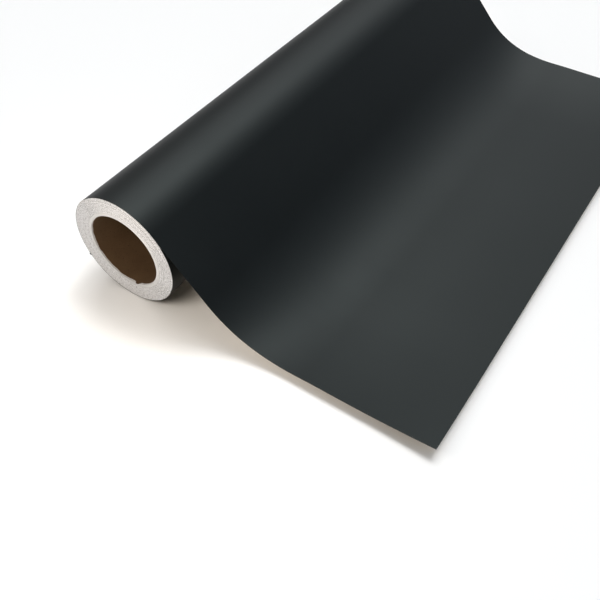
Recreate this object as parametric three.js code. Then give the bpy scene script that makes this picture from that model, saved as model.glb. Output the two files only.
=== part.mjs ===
// A roll of self-adhesive sign vinyl, lying on a flat surface with its free end drawn off over the top of the
// roll and laid out flat.
//
// The object is a spiral-wound paperboard core, a strip of tape that holds the web to the core, and one long
// two-layer web: a dark PVC film (with its adhesive) on a pale paper release liner. The web leaves the roll at a
// tangent, runs straight down, bends through a long concave arc and lies flat up to its cut edge.
//
// Units are millimetres and +Z is up. The roll's axis runs along Y, and the web leaves towards +X. The origin is
// at the centre of the object's footprint, on the surface that it lies on.
import * as THREE from "three";

// Driving dimensions.
const ROLL_WIDTH = 610; // 24 inch stock: core, laps and laid-out web are all this wide
const ROLL_RADIUS = 57.75; // outside of the outermost lap
const CORE_BORE_RADIUS = 38.1; // 3 inch core
const FILM_THICKNESS = 0.1; // PVC film with its adhesive coat
const LINER_THICKNESS = 0.12; // release paper
const DEPARTURE_ANGLE = THREE.MathUtils.degToRad(46); // past the roll's top, where the web leaves the roll
const TOE_RADIUS = 142; // concave bend where the web comes down to the surface
const CUT_EDGE_REACH = 325; // from the roll's axis to the web's cut edge
const LAP_START_ANGLE = THREE.MathUtils.degToRad(60); // past the top, where the outermost lap begins

// Paperboard plies of the core, from the bore outwards.
const CORE_PLIES = [
  { name: "core_inner_ply", thickness: 0.5, material: "kraft" },
  { name: "core_board_ply_1", thickness: 0.75, material: "board" },
  { name: "core_board_ply_2", thickness: 0.75, material: "board" },
  { name: "core_board_ply_3", thickness: 0.75, material: "board" },
  { name: "core_board_ply_4", thickness: 0.75, material: "board" },
  { name: "core_outer_ply", thickness: 0.5, material: "board" },
];

// Clearances.
const TAPE_THICKNESS = 0.1;
const TAPE_CLEARANCE = 0.1; // over and under the start tape
const TAPE_WIDTH = 25; // round the core
const TAPE_END_INSET = 5; // from each end of the core
const RUNNING_GAP = 0.3; // between the turning laps and the outermost lap, which stays with the web
const SLIDE_GAP = 0.3; // between the end of the lead-out and the free end that feeds away from it
const SLIDE_CLEARANCE = 0.1; // height that lets the free end pass under the lead-out as the web rewinds

const ROUND_SEGMENTS = 96; // round a full circle

// Derived dimensions.
const WEB_THICKNESS = FILM_THICKNESS + LINER_THICKNESS;
const CORE_RADIUS = CORE_PLIES.reduce((radius, ply) => radius + ply.thickness, CORE_BORE_RADIUS);
const LAPS_INNER_RADIUS = CORE_RADIUS + TAPE_THICKNESS + 2 * TAPE_CLEARANCE;
const LAPS_OUTER_RADIUS = ROLL_RADIUS - WEB_THICKNESS - RUNNING_GAP;
const AXIS_X = (ROLL_RADIUS - CUT_EDGE_REACH) / 2; // puts the footprint's centre at x = 0
const CUT_EDGE_X = AXIS_X + CUT_EDGE_REACH;

const MATERIALS = {
  film: new THREE.MeshStandardMaterial({ color: 0x2b3032, roughness: 0.5, metalness: 0 }),
  liner: new THREE.MeshStandardMaterial({ color: 0xe8dfcf, roughness: 0.7, metalness: 0 }),
  laps: new THREE.MeshStandardMaterial({ color: 0xd9d6d2, roughness: 0.85, metalness: 0 }),
  kraft: new THREE.MeshStandardMaterial({ color: 0x5d4830, roughness: 0.9, metalness: 0 }),
  board: new THREE.MeshStandardMaterial({ color: 0xdad6d3, roughness: 0.95, metalness: 0 }),
  tape: new THREE.MeshStandardMaterial({ color: 0xd8c48f, roughness: 0.6, metalness: 0 }),
};

function namedMesh(name, geometry, material) {
  const mesh = new THREE.Mesh(geometry, MATERIALS[material]);
  mesh.name = name;
  return mesh;
}

// A tube about Y, centred on the origin.
function tubeGeometry(innerRadius, outerRadius, length) {
  const profile = [
    new THREE.Vector2(innerRadius, -length / 2),
    new THREE.Vector2(outerRadius, -length / 2),
    new THREE.Vector2(outerRadius, length / 2),
    new THREE.Vector2(innerRadius, length / 2),
    new THREE.Vector2(innerRadius, -length / 2),
  ];
  return new THREE.LatheGeometry(profile, ROUND_SEGMENTS);
}

// Extrudes a side view, drawn as (x, z), along Y, centred on y = 0.
function extrudeAcross(sideView, width) {
  const geometry = new THREE.ExtrudeGeometry(sideView, {
    depth: width,
    bevelEnabled: false,
    curveSegments: ROUND_SEGMENTS / 2,
  });
  return geometry.rotateX(Math.PI / 2).translate(0, width / 2, 0);
}

// The web's upper face from the departure point to the surface, in a side view whose origin is under the axis.
function leadOut() {
  const sin = Math.sin(DEPARTURE_ANGLE);
  const cos = Math.cos(DEPARTURE_ANGLE);
  const departX = ROLL_RADIUS * sin;
  const departZ = ROLL_RADIUS * (1 + cos);
  const toeStartZ = WEB_THICKNESS + TOE_RADIUS * (1 - cos);
  const straightRun = ((departZ - toeStartZ) * cos) / sin;
  const toeEndX = departX + straightRun + TOE_RADIUS * sin;
  // The lead-out ends just short of the flat, where its underside clears the free end's top.
  const endRise = WEB_THICKNESS + SLIDE_CLEARANCE;
  const endSlope = Math.acos(1 - endRise / (TOE_RADIUS + WEB_THICKNESS));
  return { toeEndX, endSlope, endX: toeEndX - TOE_RADIUS * Math.sin(endSlope) };
}

// Side view of one layer of the web, between two depths below its outer face: once round the roll, then the
// straight run and the toe. three.js joins consecutive arcs with straight lines, which draws the straight run.
function layerSideView(topDepth, bottomDepth) {
  const { toeEndX, endSlope } = leadOut();
  const toeCentreZ = WEB_THICKNESS + TOE_RADIUS;
  const up = Math.PI / 2;
  const lapStart = up - LAP_START_ANGLE;
  const lapEnd = up - DEPARTURE_ANGLE;
  const toeStart = -up - DEPARTURE_ANGLE;
  const toeEnd = -up - endSlope;
  const outline = new THREE.Shape();
  outline.absarc(0, ROLL_RADIUS, ROLL_RADIUS - topDepth, lapStart, lapEnd, true);
  outline.absarc(toeEndX, toeCentreZ, TOE_RADIUS + topDepth, toeStart, toeEnd, false);
  outline.absarc(toeEndX, toeCentreZ, TOE_RADIUS + bottomDepth, toeEnd, toeStart, true);
  outline.absarc(0, ROLL_RADIUS, ROLL_RADIUS - bottomDepth, lapEnd, lapStart, false);
  outline.closePath();
  return outline;
}

// One layer of the web that stays with the roll's place: the outermost lap and the lead-out.
function leadLayer(name, topDepth, bottomDepth, material) {
  const geometry = extrudeAcross(layerSideView(topDepth, bottomDepth), ROLL_WIDTH);
  const mesh = namedMesh(name, geometry, material);
  mesh.position.x = AXIS_X;
  return mesh;
}

// One layer of the flat free end, from the lead-out to the cut edge.
function freeEndLayer(name, topDepth, bottomDepth, material) {
  const startX = AXIS_X + leadOut().endX + SLIDE_GAP;
  const thickness = bottomDepth - topDepth;
  const geometry = new THREE.BoxGeometry(CUT_EDGE_X - startX, ROLL_WIDTH, thickness);
  const mesh = namedMesh(name, geometry, material);
  mesh.position.set((startX + CUT_EDGE_X) / 2, 0, WEB_THICKNESS - bottomDepth + thickness / 2);
  return mesh;
}

function laidWeb() {
  const web = new THREE.Group();
  web.add(leadLayer("vinyl_film_lead", 0, FILM_THICKNESS, "film"));
  web.add(leadLayer("release_liner_lead", FILM_THICKNESS, WEB_THICKNESS, "liner"));
  return web;
}

function freeEnd() {
  const end = new THREE.Group();
  end.add(freeEndLayer("vinyl_film_free_end", 0, FILM_THICKNESS, "film"));
  end.add(freeEndLayer("release_liner_free_end", FILM_THICKNESS, WEB_THICKNESS, "liner"));
  return end;
}

// The core's plies, nested face to face as they are glued.
function core() {
  const plies = new THREE.Group();
  let radius = CORE_BORE_RADIUS;
  for (const ply of CORE_PLIES) {
    const outside = radius + ply.thickness;
    plies.add(namedMesh(ply.name, tubeGeometry(radius, outside, ROLL_WIDTH), ply.material));
    radius = outside;
  }
  return plies;
}

// The strip along the top of the core that holds the innermost lap.
function startTape() {
  const inner = CORE_RADIUS + TAPE_CLEARANCE;
  const halfAngle = TAPE_WIDTH / 2 / inner;
  const top = Math.PI / 2;
  const outline = new THREE.Shape();
  outline.absarc(0, 0, inner + TAPE_THICKNESS, top - halfAngle, top + halfAngle, false);
  outline.absarc(0, 0, inner, top + halfAngle, top - halfAngle, true);
  outline.closePath();
  return namedMesh("start_tape", extrudeAcross(outline, ROLL_WIDTH - 2 * TAPE_END_INSET), "tape");
}

// Everything that turns about the roll's axis as the web is drawn off.
function turningRoll() {
  const roll = new THREE.Group();
  roll.position.set(AXIS_X, 0, ROLL_RADIUS);
  roll.add(core());
  roll.add(startTape());
  roll.add(namedMesh("wound_laps", tubeGeometry(LAPS_INNER_RADIUS, LAPS_OUTER_RADIUS, ROLL_WIDTH), "laps"));
  return roll;
}

const vinylRoll = new THREE.Group();
vinylRoll.name = "sign_vinyl_roll";
vinylRoll.add(laidWeb());
vinylRoll.add(freeEnd());
vinylRoll.add(turningRoll());

export default vinylRoll;
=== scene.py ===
"""A roll of dark self-adhesive sign vinyl on a paperboard core, with its free end drawn off and laid out.

Sizes are in metres in the row frame: +X is the way the web is drawn off, +Y runs along the roll's axis and
+Z is up. An angle round the roll is measured from its top towards +X, which is the way that the web is wound.
"""

import math
from collections import namedtuple

import bpy
import numpy as np
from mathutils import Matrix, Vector


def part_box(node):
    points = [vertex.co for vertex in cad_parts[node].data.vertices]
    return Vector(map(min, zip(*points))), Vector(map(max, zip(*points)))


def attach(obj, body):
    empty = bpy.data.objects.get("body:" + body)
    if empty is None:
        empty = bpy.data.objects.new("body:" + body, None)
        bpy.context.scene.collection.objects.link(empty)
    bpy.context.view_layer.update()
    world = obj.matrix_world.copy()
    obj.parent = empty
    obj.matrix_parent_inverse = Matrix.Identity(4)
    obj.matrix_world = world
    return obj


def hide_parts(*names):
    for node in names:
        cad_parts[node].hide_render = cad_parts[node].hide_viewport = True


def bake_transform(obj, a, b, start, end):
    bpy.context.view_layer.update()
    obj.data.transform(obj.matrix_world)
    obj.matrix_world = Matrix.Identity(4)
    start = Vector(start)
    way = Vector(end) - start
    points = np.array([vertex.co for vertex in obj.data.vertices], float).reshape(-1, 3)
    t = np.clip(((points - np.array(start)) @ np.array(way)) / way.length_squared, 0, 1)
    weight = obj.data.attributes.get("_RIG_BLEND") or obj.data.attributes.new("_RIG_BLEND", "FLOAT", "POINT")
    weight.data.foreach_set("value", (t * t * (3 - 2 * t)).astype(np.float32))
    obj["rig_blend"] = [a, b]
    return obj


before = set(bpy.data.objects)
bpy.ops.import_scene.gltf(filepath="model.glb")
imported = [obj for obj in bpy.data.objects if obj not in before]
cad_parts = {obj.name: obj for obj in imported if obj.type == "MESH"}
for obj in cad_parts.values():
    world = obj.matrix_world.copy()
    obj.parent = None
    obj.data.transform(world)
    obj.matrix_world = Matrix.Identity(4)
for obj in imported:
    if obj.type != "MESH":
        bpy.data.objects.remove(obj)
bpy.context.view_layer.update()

MM = 0.001

# Read from the CAD model.
LAP_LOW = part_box("vinyl_film_lead")[0]
FREE_LOW, FREE_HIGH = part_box("vinyl_film_free_end")
WOUND_LOW, WOUND_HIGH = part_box("wound_laps")
TAPE_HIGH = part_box("start_tape")[1]
AXIS_X = (WOUND_LOW.x + WOUND_HIGH.x) / 2
AXIS_Z = (WOUND_LOW.z + WOUND_HIGH.z) / 2
ROLL_RADIUS = AXIS_X - LAP_LOW.x
WEB_THICKNESS = FREE_HIGH.z
HALF_WIDTH = FREE_HIGH.y
CUT_EDGE_X = FREE_HIGH.x

# The web.
DEPARTURE = math.radians(46)  # past the top, where the web leaves the roll
LAP_START = math.radians(60 - 360)  # where the outermost lap begins
LAP_LENGTH = ROLL_RADIUS * (DEPARTURE - LAP_START)
TOE_RADIUS = 142 * MM  # of the concave bend where the web comes down to the surface
FILM_THICKNESS = 0.1 * MM
GLUE_GAP = 0.004 * MM  # keeps the faces of the film and the liner apart
LAP_ROWS, STRAIGHT_ROWS, TOE_ROWS, FLAT_ROWS = 400, 24, 44, 52  # of points, one stretch after another
WEB_COLUMNS = 91
EDGE_CROWDING = 1.35  # more than 1 sets the columns closer together near both side edges

LINER_SET_BACK = 0.4 * MM  # of the outermost lap's liner, behind the film's slit edge
SET_BACK_FADE = 90 * MM  # of the lead-out, over which the liner comes back to the film's edge

# The stretch that bends from the web's body to the free end's as they move apart.
BEND_START_X = FREE_LOW.x
BEND_END_X = CUT_EDGE_X - 14 * MM

# A nick in the outermost lap's edge, where a flap of film stands out.
NICK_ANGLE = math.radians(-121)
NICK_HALF_ARC = math.radians(1.6)
NICK_REACH = 1.2 * MM
NICK_WIDTH = 4 * MM  # of the film beside the edge that is drawn out with it

# How the web's free edges curl up from the surface.
SIDE_CURL, SIDE_CURL_WIDTH = 8 * MM, 110 * MM
CUT_CURL, CUT_CURL_WIDTH = 7 * MM, 90 * MM
CORNER_RELIEF = 4 * MM  # the two curls don't add up fully at a corner
CURL_FROM = AXIS_X + 95 * MM
CURL_TO = AXIS_X + 205 * MM

# The slight unevenness of the free sheet. Each line that wanders is given as its seed and its wavelengths.
SLACK = 0.16 * MM
SLACK_FADE = 50 * MM  # of the lead-out, over which it sets in
SLACK_ALONG = (4, [0.31, 0.19, 0.127])
SLACK_ACROSS = (9, [0.53, 0.27, 0.171])
SLACK_SKEW = 0.3  # how far the waves across the web shift for each metre along it

# The wound laps. They have more liner and less film than the web, so that the roll's end looks pale.
LAP_SEGMENTS = 96  # in a turn
LAPS = 68 + 60 / 360  # from the start tape, at the top, to the outermost lap's beginning
WOUND_INNER = 42.4 * MM
WOUND_OUTER = 57.5 * MM
WOUND_FILM = 0.045 * MM
WOUND_LINER = 0.165 * MM
FILM_SET_BACK = 0.08 * MM  # the film's slit edge lies behind the liner's

# How far the laps slide along the axis. The wavelengths are in turns.
LAP_DRIFT, LAP_DRIFT_LINE = 0.11 * MM, (21, [0.9, 1.7, 3.1, 6.3, 14])
LAP_WOBBLE, LAP_WOBBLE_LINE = 0.03 * MM, (35, [1.0, 0.5, 0.29])

# The core's plies, from the bore outwards: piece, node, material slot, thickness, where its helix starts in
# turns, and how far in its end lies.
BORE_RADIUS = 38.1 * MM
PLIES = [
    ("kraft_bore_ply", "core_inner_ply", "kraft_ply", 0.5 * MM, 0.0, 1.6 * MM),
    ("board_strip_1", "core_board_ply_1", "board_ply", 0.75 * MM, 0.42, 0.12 * MM),
    ("board_strip_2", "core_board_ply_2", "board_ply", 0.75 * MM, 0.14, 0.05 * MM),
    ("board_strip_3", "core_board_ply_3", "board_ply", 0.75 * MM, 0.71, 0.02 * MM),
    ("board_strip_4", "core_board_ply_4", "board_ply", 0.75 * MM, 0.28, 0.05 * MM),
    ("board_strip_5", "core_outer_ply", "board_ply", 0.5 * MM, 0.55, 0.08 * MM),
]
PLY_STRIP = 110 * MM  # width of the strip that each ply is wound from
PLY_SEAM = 0.3 * MM
PLY_SEGMENTS = 160  # in a turn
PLY_COLUMNS = 13
PLY_LEAST = 0.4 * MM  # a strip stops where it would be narrower than this
PLY_RAG = 0.22  # unevenness of a sawn end, as a share of how far in it lies
PLY_RAG_WAVES = [1, 0.31, 0.13, 0.07, 0.041]  # in turns
PLY_SEED = 50  # of the first ply

# A torn flap of the kraft ply that stands out over the bore's rim.
FLAP_PLY = "kraft_bore_ply"
FLAP_ANGLE = math.radians(166)
FLAP_HALF_ARC = math.radians(6)
FLAP_REACH = 2.8 * MM  # from the ply's end
FLAP_STEEPNESS = 1.5  # 1 would make it a single bump, and more gives it a level top

# The start tape.
TAPE_THICKNESS = 0.1 * MM
TAPE_SHORT = 0.8 * MM  # how far in its torn ends lie
TAPE_TEAR = 0.5  # their unevenness, as a share of that
TAPE_TEAR_LINE = (77, [0.11, 0.05, 0.023])  # in radians
TAPE_ROWS, TAPE_COLUMNS = 33, 61

# The camera: the point looked at, and where from. Its azimuth is measured from -Y towards +X.
CAMERA_TARGET = Vector((0.0203, -0.2449, 0.03))
CAMERA_AZIMUTH = 33.54
CAMERA_ELEVATION = 48.19
CAMERA_DISTANCE = 0.6888
CAMERA_FIELD = math.radians(43.32)

# The floor. Its colour turns from white to grey away from the set: painted shade for the light falling off.
FLOOR_REACH = 20
FLOOR_DROP = 0.05 * MM
FLOOR_WHITE, FLOOR_PAINTED_SHADE_GREY = 0.92, 0.5
FLOOR_PAINTED_SHADE_END = 1.9  # from the origin, where it has turned grey. The fade starts halfway there.

# Distant lights: azimuth from +X towards +Y, elevation, both in degrees, and a radiance or strength.
SOFT_LIGHTS = [
    (180, 32, (0.94, 0.91, 0.89)),
    (100, 48, (1.43, 1.48, 1.53)),
    (45, 35, (0.26, 0.32, 0.39)),
]
LOBE_SHARPNESS = 7
BACKDROP = (0.523, 0.53, 0.532)  # what the camera sees past the floor
KEY_LIGHTS = [(90, 62, 1.36), (40, 68, 0.29), (132, 53, 0.6)]
KEY_SIZE = math.radians(24)
KEY_COLOUR = (1.0, 0.995, 0.98)

# Lamps close to the roll's near end: where each is from the foot of that end, its width, watts and colour.
FILL_LAMPS = [
    (Vector((0.05, -0.12, 0.18)), 0.10, 0.165, (1.13, 1.0, 0.84)),
    (Vector((0.014, -0.195, 0.32)), 0.15, 0.2, (1.03, 1.0, 0.96)),
]
FILL_AIM = Vector((0.044, 0.005, 0.02))  # also from the foot of the roll's near end

CREASE = math.radians(35)  # edges sharper than this aren't smoothed


# ---------------------------------------------------------------- small helpers


def smooth(t):
    """0 to 1 with level ends, for a number or an array."""
    t = np.clip(t, 0, 1)
    return t * t * (3 - 2 * t)


class Wander:
    """A smooth random line about 0, made of a few seeded waves. It is about 1 high."""

    def __init__(self, seed, wavelengths):
        random = np.random.default_rng(seed)
        self.waves = [(2 * math.pi / w, random.uniform(0, 2 * math.pi)) for w in wavelengths]

    def __call__(self, x):
        return sum(np.sin(k * x + phase) for k, phase in self.waves) / math.sqrt(len(self.waves))


def roll_point(angle, radius):
    """x and z of a point of the roll, for numbers or arrays."""
    return AXIS_X + radius * np.sin(angle), AXIS_Z + radius * np.cos(angle)


def roll_grid(angle, radius, y):
    """Points round the roll, (rows, columns, 3), from each row's angle and radius and each point's y."""
    x, z = roll_point(angle, radius)
    points = np.empty((*y.shape, 3))
    points[..., 0] = x[:, None]
    points[..., 1] = y
    points[..., 2] = z[:, None]
    return points


def direction(azimuth, elevation):
    """A unit vector, from an azimuth that turns from +X towards +Y and an elevation, in degrees."""
    azimuth, elevation = math.radians(azimuth), math.radians(elevation)
    level = math.cos(elevation)
    return Vector((math.cos(azimuth) * level, math.sin(azimuth) * level, math.sin(elevation)))


def make_mesh(name, vertices, faces, material):
    mesh = bpy.data.meshes.new(name)
    mesh.from_pydata(vertices.reshape(-1, 3).tolist(), [], faces.tolist())
    mesh.validate()
    mesh.shade_smooth()
    mesh.set_sharp_from_angle(angle=CREASE)
    mesh.materials.append(material)
    piece = bpy.data.objects.new(name, mesh)
    bpy.context.scene.collection.objects.link(piece)
    return piece


def add_attribute(piece, name, values):
    attribute = piece.data.attributes.new(name, "FLOAT", "POINT")
    attribute.data.foreach_set("value", np.asarray(values, np.float32).ravel())


def shell(name, outer, inner, material):
    """A closed sheet between two grids of points, both (rows, columns, 3). outer has its normal towards the
    eye that sees rows run to the right and columns run away."""
    rows, columns = outer.shape[:2]
    index = np.arange(rows * columns).reshape(rows, columns)
    under = index + rows * columns

    def quads(grid):
        return np.stack([grid[:-1, :-1], grid[1:, :-1], grid[1:, 1:], grid[:-1, 1:]], -1).reshape(-1, 4)

    def wall(edge, edge_under):
        return np.stack([edge[:-1], edge_under[:-1], edge_under[1:], edge[1:]], -1)

    faces = [
        quads(index),
        quads(under)[:, ::-1],
        wall(index[:, 0], under[:, 0]),
        wall(index[:, -1], under[:, -1])[:, ::-1],
        wall(index[0], under[0])[:, ::-1],
        wall(index[-1], under[-1]),
    ]
    vertices = np.stack([outer, inner])
    return make_mesh(name, vertices, np.concatenate(faces), material)


# ---------------------------------------------------------------- materials


class Nodes:
    """A node tree, with short ways to add nodes to it."""

    def __init__(self, tree):
        self.tree = tree

    def node(self, kind, **values):
        made = self.tree.nodes.new(kind)
        for key, value in values.items():
            setattr(made, key, value)
        return made

    def link(self, output, target):
        self.tree.links.new(output, target)

    def maths(self, kind, operation, first, *constants):
        """A number from an output and constants. kind is ShaderNodeMath or ShaderNodeVectorMath."""
        made = self.node(kind, operation=operation)
        self.link(first, made.inputs[0])
        for socket, value in zip(list(made.inputs)[1:], constants):
            socket.default_value = value
        return made.outputs["Value"]

    def mixed(self, factor, first, second):
        """A blend of two colours. Each of the three is an output or a constant."""
        made = self.node("ShaderNodeMix", data_type="RGBA")
        for key, value in (("Factor", factor), ("A", first), ("B", second)):
            socket = next(s for s in made.inputs if s.name == key and s.enabled)
            if isinstance(value, bpy.types.NodeSocket):
                self.link(value, socket)
            else:
                socket.default_value = (*value, 1) if isinstance(value, tuple) else value
        return next(s for s in made.outputs if s.enabled)


class Shader(Nodes):
    """A new material with one Principled BSDF. Constants go straight on its sockets."""

    def __init__(self, name, colour, roughness, **sockets):
        self.material = bpy.data.materials.new(name)
        self.material.use_nodes = True
        super().__init__(self.material.node_tree)
        self.bsdf = self.tree.nodes["Principled BSDF"]
        self.bsdf.inputs["Base Color"].default_value = (*colour, 1)
        self.bsdf.inputs["Roughness"].default_value = roughness
        for socket, value in sockets.items():
            self.bsdf.inputs[socket.replace("_", " ")].default_value = value

    def noise(self, vector, scale, detail=3.0, roughness=0.55):
        made = self.node("ShaderNodeTexNoise")
        made.inputs["Scale"].default_value = scale
        made.inputs["Detail"].default_value = detail
        made.inputs["Roughness"].default_value = roughness
        self.link(vector, made.inputs["Vector"])
        return made.outputs["Fac"]

    def place(self):
        return self.node("ShaderNodeTexCoord").outputs["Object"]

    def stretched(self, vector, scale):
        mapping = self.node("ShaderNodeMapping")
        mapping.inputs["Scale"].default_value = scale
        self.link(vector, mapping.inputs["Vector"])
        return mapping.outputs["Vector"]

    def attributes(self, first, second):
        """A vector of two of the mesh's attributes."""
        made = self.node("ShaderNodeCombineXYZ")
        for axis, name in (("X", first), ("Y", second)):
            read = self.node("ShaderNodeAttribute", attribute_name=name)
            self.link(read.outputs["Fac"], made.inputs[axis])
        return made.outputs["Vector"]

    def ramp(self, value, stops):
        """stops are (position, grey or colour)."""
        made = self.node("ShaderNodeValToRGB")
        elements = made.color_ramp.elements
        while len(elements) < len(stops):
            elements.new(0.5)
        for element, (position, colour) in zip(elements, stops):
            element.position = position
            rgb = colour if isinstance(colour, tuple) else (colour,) * 3
            element.color = (*rgb, 1)
        self.link(value, made.inputs["Fac"])
        return made.outputs["Color"]

    def bump(self, height, strength, distance, below=None):
        made = self.node("ShaderNodeBump")
        made.inputs["Strength"].default_value = strength
        made.inputs["Distance"].default_value = distance
        self.link(height, made.inputs["Height"])
        if below is not None:
            self.link(below, made.inputs["Normal"])
        return made.outputs["Normal"]

    def colour_from(self, output):
        self.link(output, self.bsdf.inputs["Base Color"])

    def roughness_from(self, output):
        self.link(output, self.bsdf.inputs["Roughness"])

    def normal_from(self, output):
        self.link(output, self.bsdf.inputs["Normal"])


def film_material():
    """Calendered PVC: satin, nearly black slate, with a fine grain and faint lines along the web."""
    gloss = {"Specular_IOR_Level": 0.172, "Specular_Tint": (0.87, 1, 0.99, 1)}
    shader = Shader("vinyl_film", (0.0049, 0.0059, 0.0064), 0.4, **gloss)
    along_web = shader.attributes("along", "across")
    clouds = shader.noise(shader.place(), scale=9, detail=4)
    lines = shader.noise(shader.stretched(along_web, (3, 900, 1)), scale=1, detail=2)
    grain = shader.noise(shader.place(), scale=2600, detail=2)
    blacks = [(0.3, (0.0044, 0.0053, 0.0058)), (0.7, (0.0054, 0.0065, 0.007))]
    shader.colour_from(shader.ramp(clouds, blacks))
    shader.roughness_from(shader.ramp(shader.mixed(0.35, clouds, lines), [(0.3, 0.43), (0.7, 0.49)]))
    fine = shader.bump(grain, strength=0.22, distance=0.02 * MM)
    shader.normal_from(shader.bump(lines, strength=0.06, distance=0.02 * MM, below=fine))
    return shader.material


def liner_material():
    """Silicone-coated release paper: warm white, with a soft fibre mottle."""
    shader = Shader("release_liner", (0.86, 0.77, 0.65), 0.55, Specular_IOR_Level=0.4)
    fibres = shader.noise(shader.stretched(shader.place(), (1, 0.35, 1)), scale=900, detail=5, roughness=0.6)
    clouds = shader.noise(shader.place(), scale=30, detail=4)
    shade = shader.mixed(0.4, fibres, clouds)
    shader.colour_from(shader.ramp(shade, [(0.3, (0.83, 0.73, 0.6)), (0.7, (0.89, 0.81, 0.7))]))
    shader.roughness_from(shader.ramp(fibres, [(0.3, 0.5), (0.7, 0.62)]))
    shader.normal_from(shader.bump(fibres, strength=0.3, distance=0.02 * MM))
    return shader.material


def wound_liner_material():
    """The slit edges of the liner, lap after lap, speckled with dust."""
    shader = Shader("wound_liner", (0.78, 0.78, 0.795), 0.85)
    tone = shader.noise(shader.attributes("turn", "lap"), scale=1.3, detail=4, roughness=0.7)
    fibres = shader.noise(shader.place(), scale=1800, detail=4, roughness=0.65)
    dust = shader.noise(shader.place(), scale=600, detail=2, roughness=0.5)
    shade = shader.mixed(0.75, shader.mixed(0.45, tone, fibres), dust)
    greys = [(0.34, (0.45, 0.445, 0.46)), (0.48, (0.75, 0.75, 0.765)), (0.62, (0.86, 0.86, 0.88))]
    shader.colour_from(shader.ramp(shade, greys))
    shader.normal_from(shader.bump(fibres, strength=0.5, distance=0.05 * MM))
    return shader.material


def wound_film_material():
    """The slit edges of the film between the liner's laps."""
    shader = Shader("wound_film", (0.06, 0.066, 0.068), 0.5)
    tone = shader.noise(shader.attributes("turn", "lap"), scale=2.1, detail=3)
    shader.colour_from(shader.ramp(tone, [(0.3, (0.03, 0.034, 0.036)), (0.7, (0.1, 0.105, 0.105))]))
    return shader.material


def paper_material(name, dark, light, fleck, roughness):
    """Recycled paper: short fibres, a soft mottle and scattered flecks."""
    shader = Shader(name, light, roughness, Specular_IOR_Level=0.3)
    place = shader.place()
    fibres = shader.noise(shader.stretched(place, (1, 0.3, 1)), scale=1300, detail=5, roughness=0.7)
    clouds = shader.noise(place, scale=55, detail=4)
    flecks = shader.ramp(shader.noise(place, scale=520, detail=2), [(0.66, 0.0), (0.74, 1.0)])
    shade = shader.mixed(0.5, fibres, clouds)
    body = shader.ramp(shade, [(0.3, dark), (0.7, light)])
    shader.colour_from(shader.mixed(flecks, body, fleck))
    shader.roughness_from(shader.ramp(fibres, [(0.2, roughness - 0.1), (0.8, roughness)]))
    shader.normal_from(shader.bump(fibres, strength=0.45, distance=0.05 * MM))
    return shader.material


def kraft_material():
    browns = (0.083, 0.046, 0.021), (0.128, 0.076, 0.037), (0.055, 0.03, 0.016)
    return paper_material("kraft_ply", *browns, roughness=0.8)


def board_material():
    greys = (0.605, 0.598, 0.6), (0.7, 0.7, 0.705), (0.46, 0.446, 0.435)
    return paper_material("board_ply", *greys, roughness=0.95)


def tape_material():
    """Crepe masking tape."""
    shader = Shader("start_tape", (0.68, 0.55, 0.28), 0.6)
    crepe = shader.noise(shader.stretched(shader.place(), (1, 0.15, 1)), scale=1500, detail=3)
    shader.colour_from(shader.ramp(crepe, [(0.3, (0.6, 0.47, 0.23)), (0.7, (0.74, 0.61, 0.34))]))
    shader.normal_from(shader.bump(crepe, strength=0.6, distance=0.06 * MM))
    return shader.material


def floor_material():
    """White round the object, and a pale grey farther off: painted shade, where the light falls off away from
    the set.
    """
    shader = Shader("floor", (FLOOR_WHITE,) * 3, 1.0, Specular_IOR_Level=0.0)
    reach = shader.maths("ShaderNodeVectorMath", "LENGTH", shader.place())
    share = shader.maths("ShaderNodeMath", "DIVIDE", reach, FLOOR_PAINTED_SHADE_END)
    # Painted shade: the floor's colour darkens from white to grey with distance from the set.
    shader.colour_from(shader.ramp(share, [(0.5, FLOOR_WHITE), (1.0, FLOOR_PAINTED_SHADE_GREY)]))
    return shader.material


# ---------------------------------------------------------------- the web: film and liner


WebPath = namedtuple("WebPath", "points normals along angles")


def web_path():
    """The web's outer face, seen along the roll's axis: points and outward normals, (n, 2) each as x and z,
    the length up to each, and its angle round the roll. The angle stays as it is once the web has left."""
    lap_angles = np.linspace(LAP_START, DEPARTURE, LAP_ROWS)
    lap_x, lap_z = roll_point(lap_angles, ROLL_RADIUS)
    sin, cos = math.sin(DEPARTURE), math.cos(DEPARTURE)
    toe_start_z = WEB_THICKNESS + TOE_RADIUS * (1 - cos)
    toe_start_x = lap_x[-1] + (lap_z[-1] - toe_start_z) * cos / sin
    toe_end_x = toe_start_x + TOE_RADIUS * sin
    straight = np.linspace(0, 1, STRAIGHT_ROWS + 2)[1:-1]
    straight_x = lap_x[-1] + (toe_start_x - lap_x[-1]) * straight
    straight_z = lap_z[-1] + (toe_start_z - lap_z[-1]) * straight
    toe_angles = np.linspace(DEPARTURE, 0, TOE_ROWS)
    toe_x = toe_end_x - TOE_RADIUS * np.sin(toe_angles)
    toe_z = WEB_THICKNESS + TOE_RADIUS * (1 - np.cos(toe_angles))
    flat_x = np.linspace(toe_end_x, CUT_EDGE_X, FLAT_ROWS + 1)[1:]
    x = np.concatenate([lap_x, straight_x, toe_x, flat_x])
    z = np.concatenate([lap_z, straight_z, toe_z, np.full(FLAT_ROWS, WEB_THICKNESS)])
    leans = np.concatenate([lap_angles, np.full(STRAIGHT_ROWS, DEPARTURE), toe_angles, np.zeros(FLAT_ROWS)])
    return WebPath(
        points=np.stack([x, z], -1),
        normals=np.stack([np.sin(leans), np.cos(leans)], -1),
        along=np.concatenate([[0], np.cumsum(np.hypot(np.diff(x), np.diff(z)))]),
        angles=np.concatenate([lap_angles, np.full(len(x) - LAP_ROWS, DEPARTURE)]),
    )


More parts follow.
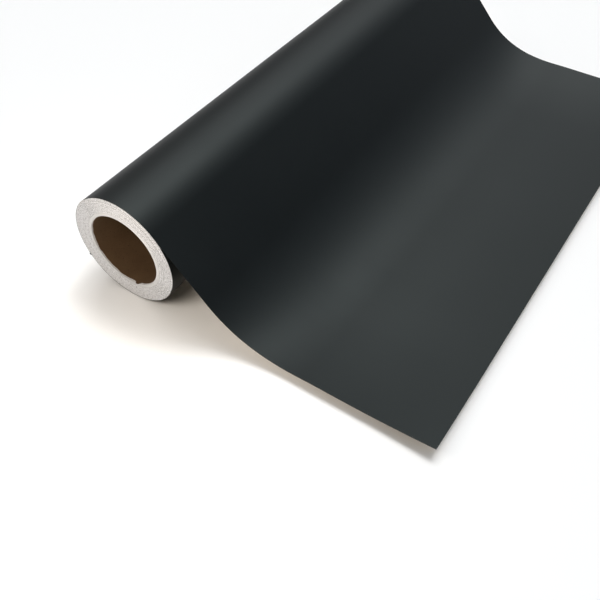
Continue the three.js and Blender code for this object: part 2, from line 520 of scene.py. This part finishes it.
def curl_of(x, y):
    """Height that the web's free edges rise by."""
    off_roll = smooth((x - CURL_FROM) / (CURL_TO - CURL_FROM))
    side = np.clip(1 - (HALF_WIDTH - np.abs(y)) / SIDE_CURL_WIDTH, 0, 1) ** 2
    end = np.clip(1 - (CUT_EDGE_X - x) / CUT_CURL_WIDTH, 0, 1) ** 2
    return off_roll * (SIDE_CURL * side + CUT_CURL * end - CORNER_RELIEF * side * end)


def slack_of(along, y):
    """How far the unevenness of the free sheet lifts it. It fades out on the roll."""
    along_line = Wander(*SLACK_ALONG)
    across_line = Wander(*SLACK_ACROSS)
    free = smooth((along - LAP_LENGTH) / SLACK_FADE)
    return SLACK * free * (2 + along_line(along) + across_line(y + SLACK_SKEW * along))


def across_web():
    """y of the columns, closer together near both side edges."""
    t = np.linspace(-1, 1, WEB_COLUMNS)
    return HALF_WIDTH * np.sign(t) * (1 - (1 - np.abs(t)) ** EDGE_CROWDING)


def nick_of(angles, y):
    """How far the film stands out towards -Y at its nick."""
    arc = smooth(1 - np.abs(angles - NICK_ANGLE) / NICK_HALF_ARC)
    return NICK_REACH * arc[:, None] * smooth((-HALF_WIDTH + NICK_WIDTH - y) / NICK_WIDTH)


def web_layer(name, path, top_depth, bottom_depth, lap_set_back, nicked, material):
    """A layer of the web between two depths under its outer face."""
    y = across_web()
    x_grid, y_grid = np.meshgrid(path.points[:, 0], y, indexing="ij")
    along_grid = np.repeat(path.along[:, None], len(y), 1)
    lift = curl_of(x_grid, y_grid) + slack_of(along_grid, y_grid)
    set_back = lap_set_back * smooth(1 - (path.along - LAP_LENGTH) / SET_BACK_FADE)
    y_set = y_grid * (1 - set_back / HALF_WIDTH)[:, None]
    if nicked:
        y_set -= nick_of(path.angles, y_grid)

    def face(depth):
        points = np.empty((*y_grid.shape, 3))
        points[..., 0] = (path.points[:, 0] - depth * path.normals[:, 0])[:, None]
        points[..., 1] = y_set
        points[..., 2] = (path.points[:, 1] - depth * path.normals[:, 1])[:, None] + lift
        return points

    piece = shell(name, face(top_depth), face(bottom_depth), material)
    add_attribute(piece, "along", np.tile(along_grid.ravel(), 2))
    add_attribute(piece, "across", np.tile(y_grid.ravel(), 2))
    return piece


def finish_web_layer(piece, nodes):
    """Bends from the web's body to the free end's over most of the flat stretch."""
    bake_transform(piece, "web", "free_end", start=(BEND_START_X, 0, 0), end=(BEND_END_X, 0, 0))
    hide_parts(*nodes)


def make_web():
    path = web_path()
    film = web_layer("vinyl_film", path, 0, FILM_THICKNESS - GLUE_GAP, 0, True, film_material())
    liner = web_layer(
        "release_liner", path, FILM_THICKNESS, WEB_THICKNESS, LINER_SET_BACK, False, liner_material()
    )
    finish_web_layer(film, ["vinyl_film_lead", "vinyl_film_free_end"])
    finish_web_layer(
        liner, ["release_liner_lead", "release_liner_free_end"]
    )


# ---------------------------------------------------------------- the wound laps


def wound_strip(name, depth_out, depth_in, set_back, material):
    """One layer of the wound web as a spiral strip, between two depths under each lap's outer face."""
    turn = np.linspace(0, LAPS, round(LAPS * LAP_SEGMENTS) + 1)
    angle = 2 * math.pi * turn
    pitch = (WOUND_OUTER - WOUND_INNER) / LAPS
    radius = WOUND_INNER + pitch * turn
    drift = Wander(*LAP_DRIFT_LINE)
    wobble = Wander(*LAP_WOBBLE_LINE)
    slide = LAP_DRIFT * drift(turn) + LAP_WOBBLE * wobble(turn)
    y = np.stack([-HALF_WIDTH + set_back - slide, HALF_WIDTH - set_back - slide], -1)

    def face(depth):
        return roll_grid(angle, radius - depth, y)

    piece = shell(name, face(depth_out), face(depth_in), material)
    add_attribute(piece, "turn", np.tile(np.repeat(turn, 2), 2))
    add_attribute(piece, "lap", np.tile(np.repeat(np.round(turn), 2), 2))
    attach(piece, "roll")
    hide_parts("wound_laps")
    return piece


def make_wound_laps():
    film = wound_strip("wound_film", 0, WOUND_FILM, FILM_SET_BACK, wound_film_material())
    under_film = WOUND_FILM + GLUE_GAP
    liner = wound_strip("wound_liner", under_film, under_film + WOUND_LINER, 0, wound_liner_material())


# ---------------------------------------------------------------- the core


def flap_of(angle):
    """How far the kraft ply stands out towards -Y at its flap."""
    off = np.abs(np.angle(np.exp(1j * (angle - FLAP_ANGLE)))) / FLAP_HALF_ARC
    return FLAP_REACH * smooth(FLAP_STEEPNESS * (1 - off))


def ply_strip(inner, phase, set_back, has_flap, seed):
    """The angle of each row of a ply's helical strip, and its lowest and highest y. The strip's turns have a
    narrow seam between them, and a saw has cut it off at both ends of the core."""
    advance = PLY_STRIP / math.sqrt(1 - (PLY_STRIP / (2 * math.pi * inner)) ** 2)
    turn = np.arange(0, (2 * HALF_WIDTH + advance) / advance, 1 / PLY_SEGMENTS)
    angle = 2 * math.pi * (turn + phase)
    rag = Wander(seed, PLY_RAG_WAVES)
    ragged = 1 + PLY_RAG * rag(turn + phase)
    near = -HALF_WIDTH + set_back * ragged
    if has_flap:
        near = near - flap_of(angle)
    far = HALF_WIDTH - set_back * ragged
    low = np.maximum(-HALF_WIDTH - advance + advance * turn + PLY_SEAM / 2, near)
    high = np.minimum(-HALF_WIDTH + advance * turn - PLY_SEAM / 2, far)
    kept = high - low > PLY_LEAST
    return angle[kept], low[kept], high[kept]


def make_core():
    materials = {"kraft_ply": kraft_material(), "board_ply": board_material()}
    share = smooth(np.linspace(0, 1, PLY_COLUMNS))
    inner = BORE_RADIUS
    for seed, (name, node, slot, thickness, phase, set_back) in enumerate(PLIES, PLY_SEED):
        angle, low, high = ply_strip(inner, phase, set_back, name == FLAP_PLY, seed)
        y = low[:, None] + (high - low)[:, None] * share
        outer_face = roll_grid(angle, inner + thickness - GLUE_GAP, y)
        piece = shell(name, outer_face, roll_grid(angle, inner, y), materials[slot])
        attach(piece, "roll")
        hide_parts(node)
        inner += thickness


def make_start_tape():
    """The strip of tape along the core's top that holds the innermost lap. Its ends are torn."""
    radius = TAPE_HIGH.z - AXIS_Z
    half_angle = math.asin((TAPE_HIGH.x - AXIS_X) / radius)
    angle = np.linspace(-half_angle, half_angle, TAPE_ROWS)
    tear = Wander(*TAPE_TEAR_LINE)
    end = TAPE_HIGH.y - TAPE_SHORT * (1 + TAPE_TEAR * tear(angle))
    y = end[:, None] * np.linspace(-1, 1, TAPE_COLUMNS)
    under = roll_grid(angle, radius - TAPE_THICKNESS, y)
    piece = shell("masking_tape", roll_grid(angle, radius, y), under, tape_material())
    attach(piece, "roll")
    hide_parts("start_tape")


# ---------------------------------------------------------------- setting


def make_camera():
    data = bpy.data.cameras.new("camera")
    data.lens_unit = "FOV"
    data.angle = CAMERA_FIELD
    camera = bpy.data.objects.new("camera", data)
    bpy.context.scene.collection.objects.link(camera)
    towards_eye = direction(CAMERA_AZIMUTH - 90, CAMERA_ELEVATION)
    camera.location = CAMERA_TARGET + towards_eye * CAMERA_DISTANCE
    camera.rotation_euler = (-towards_eye).to_track_quat("-Z", "Y").to_euler()
    bpy.context.scene.camera = camera


def make_floor():
    corners = FLOOR_REACH * np.array([[-1, -1, 0], [1, -1, 0], [1, 1, 0], [-1, 1, 0]], float)
    corners[:, 2] = -FLOOR_DROP
    floor = make_mesh("floor", corners, np.array([[0, 1, 2, 3]]), floor_material())


def make_lamp(name, kind, strength, colour, towards):
    """A lamp that shines along towards. The camera doesn't see the lamp itself."""
    data = bpy.data.lights.new(name, kind)
    data.energy = strength
    data.color = colour
    lamp = bpy.data.objects.new(name, data)
    lamp.visible_camera = False
    lamp.rotation_euler = towards.to_track_quat("-Z", "Y").to_euler()
    bpy.context.scene.collection.objects.link(lamp)
    return lamp


def make_key_lights():
    for azimuth, elevation, strength in KEY_LIGHTS:
        key = make_lamp("key", "SUN", strength, KEY_COLOUR, -direction(azimuth, elevation))
        key.data.angle = KEY_SIZE


def make_fill_lamps():
    foot = Vector((AXIS_X, -HALF_WIDTH, 0))
    for place, width, watts, colour in FILL_LAMPS:
        fill = make_lamp("fill", "AREA", watts, colour, FILL_AIM - place)
        fill.data.shape = "DISK"
        fill.data.size = width
        fill.location = foot + place


def soft_light(nodes, looked, azimuth, elevation, radiance):
    """A lobe of light from far off, which fades with the angle from its middle."""
    towards = nodes.maths("ShaderNodeVectorMath", "DOT_PRODUCT", looked, direction(azimuth, elevation))
    fade = nodes.maths("ShaderNodeMath", "MULTIPLY_ADD", towards, LOBE_SHARPNESS, -LOBE_SHARPNESS)
    lobe = nodes.node("ShaderNodeVectorMath", operation="SCALE")
    lobe.inputs[0].default_value = radiance
    nodes.link(nodes.maths("ShaderNodeMath", "EXPONENT", fade), lobe.inputs["Scale"])
    return lobe.outputs["Vector"]


def make_world():
    """A dark room with a few big soft lights. The camera sees a plain backdrop in their place."""
    world = bpy.data.worlds.new("studio")
    world.use_nodes = True
    nodes = Nodes(world.node_tree)
    looked = nodes.node("ShaderNodeTexCoord").outputs["Generated"]
    total, *others = [soft_light(nodes, looked, *light) for light in SOFT_LIGHTS]
    for other in others:
        added = nodes.node("ShaderNodeVectorMath", operation="ADD")
        nodes.link(total, added.inputs[0])
        nodes.link(other, added.inputs[1])
        total = added.outputs["Vector"]
    seen_by_camera = nodes.node("ShaderNodeLightPath").outputs["Is Camera Ray"]
    shown = nodes.mixed(seen_by_camera, total, BACKDROP)
    nodes.link(shown, world.node_tree.nodes["Background"].inputs["Color"])
    bpy.context.scene.world = world


def make_light():
    make_key_lights()
    make_fill_lamps()
    make_world()
    bpy.context.scene.view_settings.view_transform = "Standard"


make_camera()
make_web()
make_wound_laps()
make_core()
make_start_tape()
make_floor()
make_light()
